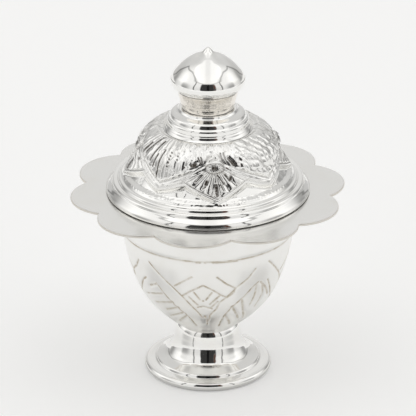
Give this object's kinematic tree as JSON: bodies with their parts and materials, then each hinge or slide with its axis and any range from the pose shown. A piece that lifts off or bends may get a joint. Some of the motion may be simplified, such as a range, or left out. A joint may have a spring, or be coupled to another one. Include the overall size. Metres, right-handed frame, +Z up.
{
  "type": "kumkum box",
  "caption": "Footed round bowl with a flat petal-edged plate at its mouth and an embossed domed lid with a knob, which lifts off; holds kumkum powder.",
  "frame": {"origin": "centre of the ring that the foot stands on, at the height of the surface below it", "axes": "+Z up along the common axis of foot, bowl, lid and knob; -Y is the side that the picture shows; +X is its right"},
  "size_m": [0.0598, 0.0602, 0.0762],
  "materials": {
    "silver_plate": "mirror-polished silver plate on brass sheet",
    "brass": "plain turned brass, slightly dull"
  },
  "bodies": {
    "base": {"foot": "silver_plate", "bowl": "silver_plate", "petal_plate": "silver_plate", "foot_screw": "brass", "foot_washer": "brass", "foot_nut": "brass"},
    "lid": {"lid_dome": "silver_plate", "lid_sleeve": "silver_plate", "lid_collar": "silver_plate", "knob_neck": "silver_plate", "knob_dome": "silver_plate", "knob_screw": "brass", "knob_washer": "brass", "knob_nut": "brass"}
  },
  "joints": [
    {"name": "lid_lift", "type": "slide", "parent": "base", "child": "lid", "axis": [0, 0, 1], "range_m": [0, 0.05]}
  ]
}
